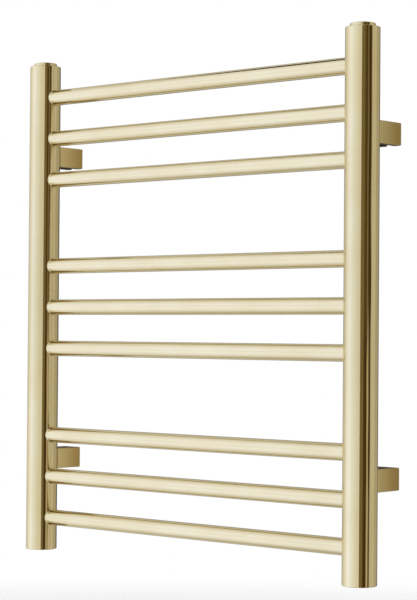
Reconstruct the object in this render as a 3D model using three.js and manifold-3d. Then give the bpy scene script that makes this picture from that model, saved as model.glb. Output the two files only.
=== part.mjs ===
// Hot-water ladder towel warmer for a bathroom wall.
//
// Two upright collector tubes are joined by nine cross tubes in three groups of three. Each upright is
// closed at the top by a threaded plug under a push-on round cover (the right plug is the air vent) and
// ends at the bottom in a threaded port for a radiator valve. Four box brackets hold it off the wall:
// a peg on the upright slides in a socket screwed to the wall, a sleeve hides both, and a grub screw in
// the socket, reached through a slot under the sleeve, clamps the peg.
//
// Frame, in millimetres: the origin is on the wall, midway between the four sockets. +X is to the right
// for somebody facing the warmer, +Y goes into the wall and +Z is up.
import * as THREE from "three";
import { mergeVertices } from "three/addons/utils/BufferGeometryUtils.js";
import Module from "manifold-3d";

// ---- Driving dimensions ----
const GAP = 0.3; // clearance left between neighbouring pieces

const RAIL_HEIGHT = 600;
const RAIL_WIDTH = 530; // over the outsides of the uprights
const STANDOFF = 53; // wall to the axes of the uprights

const UPRIGHT_RADIUS = 19;
const UPRIGHT_WALL = 1.5;
const UPRIGHT_EDGE = 0.8; // rounding of the tube's outer end edges

const BAR_RADIUS = 9.5;
const BAR_WALL = 1.2;
const BAR_PITCH = 51; // between neighbours in a group
const GROUP_PITCH = 209; // between the middles of the groups
const BAR_END_FROM_AXIS = 15; // how near a cross tube's end comes to its upright's axis

const FITTING_LENGTH = 22; // threaded boss in each end of an upright
const PORT_RADIUS = 9.3; // thread crest of a half-inch pipe port
const PORT_MOUTH_RADIUS = 10.7;

const RECESS_RADIUS = 14.5; // round recess in the top boss that takes the cover's skirt
const RECESS_DEPTH = 6;
const COVER_RADIUS = 14;
const COVER_PROUD = 4.1; // how far the cover stands above the upright
const COVER_WALL = 1.4;
const COVER_TOP = 1.5;
const COVER_SKIRT = 3.8; // how far the skirt reaches into the recess
const COVER_EDGE = 0.7;

const PLUG_SHANK_RADIUS = 9;
const PLUG_SHANK_END = -20; // heights of the top fittings are measured from the upright's top
const PLUG_HEAD_RADIUS = 12.2;
const PLUG_HEAD_BOTTOM = -4.3;
const PLUG_HEAD_TOP = 2.2;
const PLUG_HEX_ACROSS_FLATS = 12;
const PLUG_HEX_DEPTH = 5;
const GRIP_GROOVE = { radius: 10.9, bottom: -1, top: 1.2 };
const WASHER_THICKNESS = 1.1;

const VENT_HEX_DEPTH = 3.2;
const VENT_BORE_RADIUS = 3;
const VENT_SEAT_RADIUS = 1.5;
const VENT_SEAT_HEIGHT = -14;
const VENT_OUTLET_RADIUS = 0.8;
const VENT_OUTLET_HEIGHT = -2.6;
const BLEED_SHANK_RADIUS = 2.65;
const BLEED_COLLAR_RADIUS = 4.2;
const BLEED_COLLAR_THICKNESS = 1;
const BLEED_CONE_LENGTH = 2;
const BLEED_SQUARE = 5;
const BLEED_TOP = 1.9;

const BRACKET_RISE = 188; // brackets above and below the middle of the warmer
const SLEEVE_WIDTH = 28;
const SLEEVE_HEIGHT = 25;
const SLEEVE_WALL = 2;
const SLEEVE_CORNER = 1.5;
const SLEEVE_WALL_GAP = 0.5; // between the sleeve's open end and the wall
const SLOT_WIDTH = 10;
const SLOT_LENGTH = 24;
const PEG_RADIUS = 5;
const PEG_SPIGOT_RADIUS = 4;
const PEG_TIP = -5;
const SOCKET_DEPTH = 24;
const SOCKET_FLOOR = 4;
const SOCKET_BORE_RADIUS = 5.4;
const SCREW_HOLE_RADIUS = 2.6;
const SCREW_HEAD_RADIUS = 4.8;
const GRUB_RADIUS = 2.3;
const GRUB_HOLE_RADIUS = 2.65;
const GRUB_KEY_ACROSS_FLATS = 2.5;
const GRUB_KEY_DEPTH = 2;

const TUBE_SIDES = 40;
const BAR_SIDES = 24;
const SMALL_SIDES = 20;
const HEX_SIDES = 6;
const ARC_STEPS = 3;

// ---- Sizes that follow from them ----
const AXIS_X = RAIL_WIDTH / 2 - UPRIGHT_RADIUS;
const TOP = RAIL_HEIGHT / 2;
const UPRIGHT_BORE = UPRIGHT_RADIUS - UPRIGHT_WALL;
const FITTING_RADIUS = UPRIGHT_BORE - GAP;
const SOCKET_WIDTH = SLEEVE_WIDTH - 2 * (SLEEVE_WALL + GAP);
const SOCKET_HEIGHT = SLEEVE_HEIGHT - 2 * (SLEEVE_WALL + GAP);
const SLOT_ROUND_CENTRE = SLOT_LENGTH - SLOT_WIDTH / 2; // also where the grub screw sits
const BORE_MARGIN = 1; // how far a cutter runs past what it cuts
const PEG_INSIDE = 3.5; // how far the peg's spigot reaches inside the upright

const SIDES = { left: -1, right: 1 };
const LEVELS = { upper: 1, lower: -1 };
const ROWS = [-1, 0, 1];

// ---- Finishes ----
function finish(color, roughness, metalness) {
  return new THREE.MeshStandardMaterial({ color, roughness, metalness });
}

const GOLD = finish(0xcdbb8d, 0.2, 1);
const SOCKET_STEEL = finish(0xa9a8a2, 0.4, 1);
const BRASS = finish(0xb8995f, 0.35, 1);
const NICKEL = finish(0xb9b5a8, 0.3, 1);
const SCREW_STEEL = finish(0x4a4a4c, 0.45, 1);
const RUBBER = finish(0x1c1c1c, 0.8, 0);

// ---- Solids ----
const wasm = await Module();
wasm.setup();

// A closed geometry as a solid that can be joined and cut.
function solid(geometry) {
  const bare = geometry.clone();
  bare.deleteAttribute("normal");
  bare.deleteAttribute("uv");
  const merged = mergeVertices(bare, 1e-4);
  const vertProperties = merged.attributes.position.array;
  const triVerts = new Uint32Array(merged.index.array);
  return new wasm.Manifold(new wasm.Mesh({ numProp: 3, vertProperties, triVerts }));
}

// A solid back as a geometry.
function geometryOf(body) {
  const { numProp, numVert, vertProperties, triVerts } = body.getMesh();
  const points = new Float32Array(numVert * 3);
  for (let i = 0; i < numVert; i++) {
    points.set(vertProperties.subarray(i * numProp, i * numProp + 3), i * 3);
  }
  const geometry = new THREE.BufferGeometry();
  geometry.setAttribute("position", new THREE.BufferAttribute(points, 3));
  geometry.setIndex(new THREE.BufferAttribute(new Uint32Array(triVerts), 1));
  geometry.computeVertexNormals();
  return geometry;
}

// Cuts every tool out of a geometry.
function cut(geometry, tools) {
  return geometryOf(tools.reduce((body, tool) => body.subtract(solid(tool)), solid(geometry)));
}

// A turned piece about Z. The profile lists [radius, height] points anticlockwise, from axis to axis or
// closed on itself.
function turned(profile, sides) {
  const points = profile.map(([radius, height]) => new THREE.Vector2(radius, height));
  return new THREE.LatheGeometry(points, sides).rotateX(Math.PI / 2);
}

// A turned ring or tube between two radii and two heights.
function ring(inner, outer, bottom, top, sides) {
  const corners = [[inner, bottom], [outer, bottom], [outer, top], [inner, top], [inner, bottom]];
  return turned(corners, sides);
}

// Points of a quarter round of the given radius about a centre, anticlockwise from the start angle.
function quarter(radius, centreR, centreZ, startAngle) {
  return Array.from({ length: ARC_STEPS + 1 }, (_, i) => {
    const angle = startAngle + ((Math.PI / 2) * i) / ARC_STEPS;
    return [centreR + radius * Math.cos(angle), centreZ + radius * Math.sin(angle)];
  });
}

// A cylinder along Z between two heights.
function rod(radius, bottom, top, sides = SMALL_SIDES) {
  return new THREE.CylinderGeometry(radius, radius, top - bottom, sides)
    .rotateX(Math.PI / 2)
    .translate(0, 0, (bottom + top) / 2);
}

// The same cylinder laid along X, or along Y.
const rodAlongX = (radius, from, to, sides) => rod(radius, from, to, sides).rotateY(Math.PI / 2);
const rodAlongY = (radius, from, to, sides) => rod(radius, from, to, sides).rotateX(-Math.PI / 2);

// A hexagonal prism along Z between two heights.
function hexagon(acrossFlats, bottom, top) {
  return rod(acrossFlats / 2 / Math.cos(Math.PI / HEX_SIDES), bottom, top, HEX_SIDES);
}

// A rectangle centred on the origin, with rounded corners.
function roundedRectangle(width, height, corner, OutlineClass = THREE.Shape) {
  const x = width / 2;
  const y = height / 2;
  const outline = new OutlineClass();
  outline.moveTo(x, corner - y);
  outline.lineTo(x, y - corner);
  outline.absarc(x - corner, y - corner, corner, 0, Math.PI / 2);
  outline.absarc(corner - x, y - corner, corner, Math.PI / 2, Math.PI);
  outline.absarc(corner - x, corner - y, corner, Math.PI, Math.PI * 1.5);
  outline.absarc(x - corner, corner - y, corner, Math.PI * 1.5, Math.PI * 2);
  return outline;
}

// An outline drawn in X and Z, extruded along Y between two depths.
function extrudedAlongY(outline, from, to) {
  const settings = { depth: to - from, bevelEnabled: false, curveSegments: ARC_STEPS };
  return new THREE.ExtrudeGeometry(outline, settings)
    .rotateX(Math.PI / 2)
    .translate(0, to, 0);
}

// ---- Scene graph ----
const towelWarmer = new THREE.Group();
const rack = new THREE.Group();
rack.position.y = -STANDOFF;
towelWarmer.add(rack);

function addMesh(parent, name, geometry, material) {
  const mesh = new THREE.Mesh(geometry, material);
  mesh.name = name;
  parent.add(mesh);
  return mesh;
}

// ---- Tubes ----
function barHeights() {
  return ROWS.flatMap((group) => ROWS.map((row) => group * GROUP_PITCH + row * BAR_PITCH));
}

// A collector tube with rounded ends, holed for the cross tubes on its inner side and for the bracket
// pegs at its back.
function uprightGeometry(side) {
  const edge = UPRIGHT_EDGE;
  const tube = turned([
    [UPRIGHT_BORE, -TOP],
    ...quarter(edge, UPRIGHT_RADIUS - edge, edge - TOP, -Math.PI / 2),
    ...quarter(edge, UPRIGHT_RADIUS - edge, TOP - edge, 0),
    [UPRIGHT_BORE, TOP],
    [UPRIGHT_BORE, -TOP],
  ], TUBE_SIDES);
  const reach = UPRIGHT_RADIUS + BORE_MARGIN;
  const [from, to] = side < 0 ? [0, reach] : [-reach, 0];
  const barHoles = barHeights().map((height) =>
    rodAlongX(BAR_RADIUS + GAP, from, to, BAR_SIDES).translate(0, 0, height));
  const pegHoles = Object.values(LEVELS).map((level) =>
    rodAlongY(PEG_SPIGOT_RADIUS + GAP, 0, reach).translate(0, 0, level * BRACKET_RISE));
  return cut(tube, [...barHoles, ...pegHoles]);
}

function addTubes() {
  for (const [name, side] of Object.entries(SIDES)) {
    addMesh(rack, `upright_${name}`, uprightGeometry(side), GOLD).position.x = side * AXIS_X;
  }
  const end = AXIS_X - BAR_END_FROM_AXIS;
  const tube = ring(BAR_RADIUS - BAR_WALL, BAR_RADIUS, -end, end, BAR_SIDES).rotateY(Math.PI / 2);
  barHeights().reverse().forEach((height, i) => {
    addMesh(rack, `crossbar_${i + 1}`, tube, GOLD).position.z = height;
  });
}

// ---- Fittings in the tube ends ----
// The threaded boss in the foot of an upright, open downwards for a valve.
function portBossGeometry() {
  const bevel = PORT_MOUTH_RADIUS - PORT_RADIUS;
  return turned([
    [PORT_MOUTH_RADIUS, 0],
    [FITTING_RADIUS, 0],
    [FITTING_RADIUS, FITTING_LENGTH],
    [PORT_RADIUS, FITTING_LENGTH],
    [PORT_RADIUS, bevel],
    [PORT_MOUTH_RADIUS, 0],
  ], SMALL_SIDES);
}

// The threaded boss in the head of an upright, recessed for the cover's skirt.
function topBossGeometry() {
  return turned([
    [PORT_RADIUS, -FITTING_LENGTH],
    [FITTING_RADIUS, -FITTING_LENGTH],
    [FITTING_RADIUS, 0],
    [RECESS_RADIUS, 0],
    [RECESS_RADIUS, -RECESS_DEPTH],
    [PORT_RADIUS, -RECESS_DEPTH],
    [PORT_RADIUS, -FITTING_LENGTH],
  ], SMALL_SIDES);
}

// The outside shared by the blanking plug and the air vent: a threaded shank under a round head with a
// groove for the rubber ring that grips the cover.
function plugBlank() {
  return turned([
    [0, PLUG_SHANK_END],
    [PLUG_SHANK_RADIUS, PLUG_SHANK_END],
    [PLUG_SHANK_RADIUS, PLUG_HEAD_BOTTOM],
    [PLUG_HEAD_RADIUS, PLUG_HEAD_BOTTOM],
    [PLUG_HEAD_RADIUS, GRIP_GROOVE.bottom],
    [GRIP_GROOVE.radius, GRIP_GROOVE.bottom],
    [GRIP_GROOVE.radius, GRIP_GROOVE.top],
    [PLUG_HEAD_RADIUS, GRIP_GROOVE.top],
    [PLUG_HEAD_RADIUS, PLUG_HEAD_TOP],
    [0, PLUG_HEAD_TOP],
  ], SMALL_SIDES);
}

function blankingPlugGeometry() {
  const above = PLUG_HEAD_TOP + BORE_MARGIN;
  return cut(plugBlank(), [hexagon(PLUG_HEX_ACROSS_FLATS, PLUG_HEAD_TOP - PLUG_HEX_DEPTH, above)]);
}

// The air vent: a key socket, a bore for the bleed screw, its seat, and an outlet through the head.
function ventBodyGeometry() {
  const above = PLUG_HEAD_TOP + BORE_MARGIN;
  return cut(plugBlank(), [
    hexagon(PLUG_HEX_ACROSS_FLATS, PLUG_HEAD_TOP - VENT_HEX_DEPTH, above),
    rod(VENT_BORE_RADIUS, VENT_SEAT_HEIGHT, above),
    rod(VENT_SEAT_RADIUS, PLUG_SHANK_END - BORE_MARGIN, VENT_SEAT_HEIGHT + BORE_MARGIN),
    rodAlongX(VENT_OUTLET_RADIUS, 0, PLUG_HEAD_RADIUS + BORE_MARGIN, SMALL_SIDES / 2)
      .translate(0, 0, VENT_OUTLET_HEIGHT),
  ]);
}

// The bleed screw: a cone that closes the seat, a shank, a collar and a square for the key.
function bleedScrewGeometry() {
  const collarBottom = PLUG_HEAD_TOP - VENT_HEX_DEPTH + GAP;
  const collarTop = collarBottom + BLEED_COLLAR_THICKNESS;
  const coneEnd = VENT_SEAT_HEIGHT + GAP;
  const screw = turned([
    [0, coneEnd],
    [VENT_SEAT_RADIUS, coneEnd],
    [BLEED_SHANK_RADIUS, coneEnd + BLEED_CONE_LENGTH],
    [BLEED_SHANK_RADIUS, collarBottom],
    [BLEED_COLLAR_RADIUS, collarBottom],
    [BLEED_COLLAR_RADIUS, collarTop],
    [0, collarTop],
  ], SMALL_SIDES);
  const height = BLEED_TOP - collarBottom;
  const square = new THREE.BoxGeometry(BLEED_SQUARE, BLEED_SQUARE, height);
  square.translate(0, 0, collarBottom + height / 2);
  return geometryOf(solid(screw).add(solid(square)));
}

// The push-on cover: a round cup, upside down, with a rounded outer edge.
function coverGeometry() {
  const bore = COVER_RADIUS - COVER_WALL;
  const edge = COVER_EDGE;
  return turned([
    [0, COVER_PROUD - COVER_TOP],
    [bore, COVER_PROUD - COVER_TOP],
    [bore, -COVER_SKIRT],
    [COVER_RADIUS, -COVER_SKIRT],
    ...quarter(edge, COVER_RADIUS - edge, COVER_PROUD - edge, 0),
    [0, COVER_PROUD],
  ], TUBE_SIDES);
}

function addFittings() {
  const washerBottom = GAP - RECESS_DEPTH;
  const washerTop = washerBottom + WASHER_THICKNESS;
  const washer = ring(PLUG_SHANK_RADIUS + GAP, PLUG_HEAD_RADIUS - GAP, washerBottom, washerTop, SMALL_SIDES);
  const gripRing = ring(GRIP_GROOVE.radius + GAP, PLUG_HEAD_RADIUS, GRIP_GROOVE.bottom + GAP,
    GRIP_GROOVE.top - GAP, SMALL_SIDES);
  const plugs = {
    left: ["blanking_plug", blankingPlugGeometry()],
    right: ["air_vent_body", ventBodyGeometry()],
  };
  for (const [name, side] of Object.entries(SIDES)) {
    const foot = new THREE.Group();
    foot.position.set(side * AXIS_X, 0, -TOP);
    const head = new THREE.Group();
    head.position.set(side * AXIS_X, 0, TOP);
    rack.add(foot, head);
    addMesh(foot, `port_boss_${name}`, portBossGeometry(), BRASS);
    addMesh(head, `top_boss_${name}`, topBossGeometry(), GOLD);
    const [plugName, plugGeometry] = plugs[name];
    addMesh(head, plugName, plugGeometry, NICKEL);
    addMesh(head, `plug_washer_${name}`, washer, RUBBER);
    addMesh(head, `cover_grip_ring_${name}`, gripRing, RUBBER);
    addMesh(head, `top_cover_${name}`, coverGeometry(), GOLD);
    if (side > 0) {
      addMesh(head, "bleed_screw", bleedScrewGeometry(), SCREW_STEEL);
    }
  }
}

// ---- Wall brackets ----
// Depths here are measured from the wall, with the bracket's own axis at zero height.
// The sleeve's front end follows the back of its upright.
function sleeveGeometry() {
  const outline = roundedRectangle(SLEEVE_WIDTH, SLEEVE_HEIGHT, SLEEVE_CORNER);
  const inside = [SLEEVE_WIDTH - 2 * SLEEVE_WALL, SLEEVE_HEIGHT - 2 * SLEEVE_WALL];
  outline.holes.push(roundedRectangle(...inside, SLEEVE_CORNER / 2, THREE.Path));
  const tube = extrudedAlongY(outline, -STANDOFF, -SLEEVE_WALL_GAP);
  const upright = rod(UPRIGHT_RADIUS + GAP, -SLEEVE_HEIGHT, SLEEVE_HEIGHT, TUBE_SIDES);
  upright.translate(0, -STANDOFF, 0);
  const slotHeight = 2 * SLEEVE_WALL;
  const slotMiddle = -SLEEVE_HEIGHT / 2;
  const slot = new THREE.BoxGeometry(SLOT_WIDTH, SLOT_ROUND_CENTRE + BORE_MARGIN, slotHeight);
  slot.translate(0, (BORE_MARGIN - SLOT_ROUND_CENTRE) / 2, slotMiddle);
  const slotEnd = rod(SLOT_WIDTH / 2, slotMiddle - slotHeight / 2, slotMiddle + slotHeight / 2);
  slotEnd.translate(0, -SLOT_ROUND_CENTRE, 0);
  return cut(tube, [upright, slot, slotEnd]);
}

// The peg: a thin spigot through the back of the upright, then the part that slides in the socket.
function pegGeometry() {
  const shoulder = UPRIGHT_RADIUS + GAP - STANDOFF;
  const peg = rodAlongY(PEG_RADIUS, shoulder, PEG_TIP);
  const spigot = rodAlongY(PEG_SPIGOT_RADIUS, shoulder - PEG_INSIDE, shoulder + BORE_MARGIN);
  return geometryOf(solid(peg).add(solid(spigot)));
}

// The socket: a block with a bore for the peg, a countersunk hole to the wall and a hole for the grub screw.
function socketGeometry() {
  const outline = roundedRectangle(SOCKET_WIDTH, SOCKET_HEIGHT, SLEEVE_CORNER / 2);
  const block = extrudedAlongY(outline, -SOCKET_DEPTH, 0);
  const countersink = SCREW_HEAD_RADIUS - SCREW_HOLE_RADIUS;
  const screwHole = turned([
    [0, -SOCKET_FLOOR - BORE_MARGIN],
    [SCREW_HEAD_RADIUS, -SOCKET_FLOOR - BORE_MARGIN],
    [SCREW_HEAD_RADIUS, -SOCKET_FLOOR],
    [SCREW_HOLE_RADIUS, countersink - SOCKET_FLOOR],
    [SCREW_HOLE_RADIUS, BORE_MARGIN],
    [0, BORE_MARGIN],
  ], SMALL_SIDES).rotateX(-Math.PI / 2);
  const bore = rodAlongY(SOCKET_BORE_RADIUS, -SOCKET_DEPTH - BORE_MARGIN, -SOCKET_FLOOR);
  const grubHole = rod(GRUB_HOLE_RADIUS, -SOCKET_HEIGHT / 2 - BORE_MARGIN, 0);
  grubHole.translate(0, -SLOT_ROUND_CENTRE, 0);
  return cut(block, [screwHole, bore, grubHole]);
}

// The grub screw, its key socket open downwards.
function grubScrewGeometry() {
  const foot = GAP - SOCKET_HEIGHT / 2;
  const screw = rod(GRUB_RADIUS, foot, -PEG_RADIUS - GAP);
  return cut(screw, [hexagon(GRUB_KEY_ACROSS_FLATS, foot - BORE_MARGIN, foot + GRUB_KEY_DEPTH)]);
}

function addBrackets() {
  for (const [levelName, level] of Object.entries(LEVELS)) {
    for (const [sideName, side] of Object.entries(SIDES)) {
      const bracket = new THREE.Group();
      bracket.position.set(side * AXIS_X, 0, level * BRACKET_RISE);
      towelWarmer.add(bracket);
      const place = `${levelName}_${sideName}`;
      addMesh(bracket, `bracket_sleeve_${place}`, sleeveGeometry(), GOLD);
      addMesh(bracket, `bracket_peg_${place}`, pegGeometry(), SOCKET_STEEL);
      addMesh(bracket, `wall_socket_${place}`, socketGeometry(), SOCKET_STEEL);
      const grubScrew = addMesh(bracket, `grub_screw_${place}`, grubScrewGeometry(), SCREW_STEEL);
      grubScrew.position.y = -SLOT_ROUND_CENTRE;
    }
  }
}

addTubes();
addFittings();
addBrackets();

export default towelWarmer;
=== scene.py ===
"""Looks for a hot-water ladder towel warmer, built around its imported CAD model.

The warmer is polished, plated tube: two uprights, nine cross tubes welded between them, a round cover on
each upright and four box brackets to the wall. Each class below builds one sub-assembly as fine meshes
and dresses it, and every place and size comes from the CAD nodes.
"""

import logging
import math
from collections.abc import Sequence
from dataclasses import dataclass
from enum import Enum
from functools import cache

import bmesh
import bpy
from mathutils import Matrix, Vector


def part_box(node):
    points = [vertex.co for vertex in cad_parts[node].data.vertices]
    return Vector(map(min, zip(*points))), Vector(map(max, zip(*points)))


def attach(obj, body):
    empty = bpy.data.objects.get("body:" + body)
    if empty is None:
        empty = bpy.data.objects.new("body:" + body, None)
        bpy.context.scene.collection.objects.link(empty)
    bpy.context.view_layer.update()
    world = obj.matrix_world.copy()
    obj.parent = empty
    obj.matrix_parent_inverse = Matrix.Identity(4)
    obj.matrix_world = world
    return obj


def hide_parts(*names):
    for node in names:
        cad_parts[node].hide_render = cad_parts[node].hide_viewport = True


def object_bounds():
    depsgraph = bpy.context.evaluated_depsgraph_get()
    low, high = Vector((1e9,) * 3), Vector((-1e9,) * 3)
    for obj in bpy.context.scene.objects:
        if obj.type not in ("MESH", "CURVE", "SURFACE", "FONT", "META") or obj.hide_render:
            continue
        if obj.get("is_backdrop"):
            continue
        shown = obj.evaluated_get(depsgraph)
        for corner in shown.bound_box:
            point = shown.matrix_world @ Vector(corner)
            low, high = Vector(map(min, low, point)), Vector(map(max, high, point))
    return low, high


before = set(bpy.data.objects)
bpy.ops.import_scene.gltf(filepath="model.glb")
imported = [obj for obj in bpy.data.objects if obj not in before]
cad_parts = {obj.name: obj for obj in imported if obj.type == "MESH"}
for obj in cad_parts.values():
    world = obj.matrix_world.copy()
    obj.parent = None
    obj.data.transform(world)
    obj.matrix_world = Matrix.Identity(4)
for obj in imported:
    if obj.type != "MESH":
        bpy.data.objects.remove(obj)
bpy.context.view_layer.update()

LOG = logging.getLogger("towel_warmer")
MM = 0.001
Profile = list[tuple[float, float]]
Point = tuple[float, float, float]
Colour = tuple[float, float, float]


class Grain(Enum):
    """How fine marks lie: for X, Y and Z, whether they follow closely on each other that way."""

    DRAWN_ALONG_X = (False, True, True)
    DRAWN_ALONG_Y = (True, False, True)
    DRAWN_ALONG_Z = (True, True, False)
    TURNED_ABOUT_Z = (False, False, True)
    TURNED_ABOUT_Y = (False, True, False)


class Side(Enum):
    """The two uprights, by the sign of their X."""

    LEFT = -1
    RIGHT = 1


class Level(Enum):
    """The two rows of wall brackets, by the sign of their Z."""

    UPPER = 1
    LOWER = -1


# ---------------------------------------------------------------- colours and nodes


def linear(hex_colour: str) -> Colour:
    """Turns an sRGB colour into scene-linear values.

    Args:
        hex_colour: The colour as "#rrggbb".

    Returns:
        Red, green and blue, from 0 to 1.
    """
    channels = [int(hex_colour[i:i + 2], 16) / 255 for i in (1, 3, 5)]
    return tuple(c / 12.92 if c <= 0.04045 else ((c + 0.055) / 1.055) ** 2.4 for c in channels)


def add_node(tree: bpy.types.NodeTree, kind: str, settings: dict | None = None,
             inputs: dict | None = None) -> bpy.types.Node:
    """Adds a node with its settings, values and links.

    Args:
        tree: The node tree it goes into.
        kind: The node's type name.
        settings: The node's own properties, by name.
        inputs: A value, or an output to link, for each input by name or number.

    Returns:
        The new node.
    """
    node = tree.nodes.new(kind)
    for key, value in (settings or {}).items():
        setattr(node, key, value)
    for key, value in (inputs or {}).items():
        if isinstance(value, bpy.types.NodeSocket):
            tree.links.new(value, node.inputs[key])
        else:
            node.inputs[key].default_value = value
    return node


def new_material(name: str) -> tuple[bpy.types.Material, bpy.types.NodeTree, bpy.types.NodeInputs]:
    """Starts a material.

    Args:
        name: Its name.

    Returns:
        The material, its node tree and the inputs of its surface.
    """
    material = bpy.data.materials.new(name)
    material.use_nodes = True
    tree = material.node_tree
    return material, tree, tree.nodes["Principled BSDF"].inputs


def put_in_scene(name: str, data: bpy.types.ID) -> bpy.types.Object:
    """Makes a new object and links it to the scene.

    Args:
        name: Its name.
        data: Its mesh, camera or light.

    Returns:
        The object.
    """
    thing = bpy.data.objects.new(name, data)
    bpy.context.scene.collection.objects.link(thing)
    return thing


def set_ramp(node: bpy.types.Node, stops: Sequence[tuple[float, Colour]]) -> None:
    """Fills a colour ramp.

    Args:
        node: A colour ramp node.
        stops: Position and linear colour of each stop, in order.
    """
    elements = node.color_ramp.elements
    while len(elements) < len(stops):
        elements.new(0.5)
    for element, (position, colour) in zip(elements, stops):
        element.position = position
        element.color = (*colour, 1)


class Wire:
    """A number that flows between nodes, on which arithmetic adds math nodes."""

    def __init__(self, tree: bpy.types.NodeTree, socket: bpy.types.NodeSocket) -> None:
        """Wraps an output socket of a tree."""
        self.tree = tree
        self.socket = socket

    def apply(self, operation: str, *others: "Wire | float") -> "Wire":
        """Runs a math operation on this number.

        Args:
            operation: The math node's operation.
            others: Its further operands.

        Returns:
            The result.
        """
        operands = [other.socket if isinstance(other, Wire) else other for other in (self, *others)]
        node = add_node(self.tree, "ShaderNodeMath", {"operation": operation}, dict(enumerate(operands)))
        return Wire(self.tree, node.outputs[0])

    def __add__(self, other: "Wire | float") -> "Wire":
        """Adds."""
        return self.apply("ADD", other)

    def __sub__(self, other: "Wire | float") -> "Wire":
        """Subtracts."""
        return self.apply("SUBTRACT", other)

    def __mul__(self, other: "Wire | float") -> "Wire":
        """Multiplies."""
        return self.apply("MULTIPLY", other)

    def __truediv__(self, other: "Wire | float") -> "Wire":
        """Divides."""
        return self.apply("DIVIDE", other)

    def __rsub__(self, other: float) -> "Wire":
        """Subtracts this number from a fixed one."""
        return self.apply("MULTIPLY_ADD", -1.0, other)


# ---------------------------------------------------------------- finishes


LONG_MARK_SCALE = 25.0  # along their own length, marks change over about 40 mm
CLOUD_SCALE = 14.0  # tone and shine drift over about 70 mm


@dataclass(frozen=True)
class MetalFinish:
    """A metal surface with fine marks from how it was polished, turned or milled.

    Attributes:
        name: The finish's common name.
        colour: Its main sRGB colour.
        drift: A second sRGB colour that drifts slowly through the first.
        smooth: Roughness where it is best finished.
        dull: Roughness where it is dullest.
        grain: How its marks lie.
        spacing_mm: Distance between neighbouring marks.
        depth_mm: Depth of the marks.
        wall_shade: Near the wall, a darker and browner sRGB colour that paints shade, if the finish has one.
        wall_shade_from_mm: How far from the wall the painted shade starts.
    """

    name: str
    colour: str
    drift: str
    smooth: float
    dull: float
    grain: Grain
    spacing_mm: float
    depth_mm: float
    wall_shade: str = ""
    wall_shade_from_mm: float = 0.0

    def build(self) -> bpy.types.Material:
        """Makes the material.

        Returns:
            The finish as a node material on Object coordinates.
        """
        material, tree, surface = new_material(self.name)
        surface["Metallic"].default_value = 1.0
        place = add_node(tree, "ShaderNodeTexCoord").outputs["Object"]
        fine = 1 / (self.spacing_mm * MM)
        scale = [fine if close else LONG_MARK_SCALE for close in self.grain.value]
        stretched = add_node(tree, "ShaderNodeMapping", None, {"Vector": place, "Scale": scale})
        marks = add_node(tree, "ShaderNodeTexNoise", None,
                         {"Vector": stretched.outputs[0], "Scale": 1.0, "Detail": 3.0, "Roughness": 0.6})
        cloud = add_node(tree, "ShaderNodeTexNoise", None,
                         {"Vector": place, "Scale": CLOUD_SCALE, "Detail": 4.0, "Roughness": 0.55})
        tone = add_node(tree, "ShaderNodeValToRGB", None, {"Fac": cloud.outputs["Fac"]})
        set_ramp(tone, [(0.35, linear(self.colour)), (0.7, linear(self.drift))])
        both = add_node(tree, "ShaderNodeMix", {"data_type": "FLOAT"},
                        {0: 0.55, 2: cloud.outputs["Fac"], 3: marks.outputs["Fac"]})
        dullness = add_node(tree, "ShaderNodeMapRange", None,
                            {"Value": both.outputs[0], "From Min": 0.35, "From Max": 0.65,
                             "To Min": self.smooth, "To Max": self.dull})
        relief = add_node(tree, "ShaderNodeBump", None,
                          {"Height": marks.outputs["Fac"], "Strength": 1.0, "Distance": self.depth_mm * MM})
        colour = tone.outputs["Color"]
        # Painted shade: the colour turns a darker brown over the last few centimetres towards the wall.
        if self.wall_shade:
            depth = add_node(tree, "ShaderNodeSeparateXYZ", None, {0: place}).outputs[1]
            wall_shade_share = add_node(tree, "ShaderNodeMapRange", {"interpolation_type": "SMOOTHSTEP"},
                                 {"Value": depth, "From Min": -self.wall_shade_from_mm * MM, "From Max": 0.0})
            colour = add_node(tree, "ShaderNodeMix", {"data_type": "RGBA"},
                              {0: wall_shade_share.outputs[0], 6: colour, 7: (*linear(self.wall_shade), 1)}).outputs[2]
        tree.links.new(colour, surface["Base Color"])
        tree.links.new(dullness.outputs["Result"], surface["Roughness"])
        tree.links.new(relief.outputs["Normal"], surface["Normal"])
        return material


@dataclass(frozen=True)
class RubberFinish:
    """Moulded black rubber: dull, faintly pitted and a little paler where it has bloomed.

    Attributes:
        name: The finish's common name.
        colour: Its main sRGB colour.
        bloom: The paler sRGB colour.
        pit_mm: Size of the pits.
        roughness: How dull it is.
        ior: Its refractive index.
    """

    name: str
    colour: str
    bloom: str
    pit_mm: float
    roughness: float = 0.75
    ior: float = 1.52

    def build(self) -> bpy.types.Material:
        """Makes the material.

        Returns:
            The finish as a node material on Object coordinates.
        """
        material, tree, surface = new_material(self.name)
        surface["Roughness"].default_value = self.roughness
        surface["IOR"].default_value = self.ior
        place = add_node(tree, "ShaderNodeTexCoord").outputs["Object"]
        pits = add_node(tree, "ShaderNodeTexNoise", None,
                        {"Vector": place, "Scale": 1 / (self.pit_mm * MM), "Detail": 2.0})
        tone = add_node(tree, "ShaderNodeValToRGB", None, {"Fac": pits.outputs["Fac"]})
        set_ramp(tone, [(0.4, linear(self.colour)), (0.8, linear(self.bloom))])
        relief = add_node(tree, "ShaderNodeBump", None,
                          {"Height": pits.outputs["Fac"], "Strength": 0.6, "Distance": 0.05 * MM})
        tree.links.new(tone.outputs["Color"], surface["Base Color"])
        tree.links.new(relief.outputs["Normal"], surface["Normal"])
        return material


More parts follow.
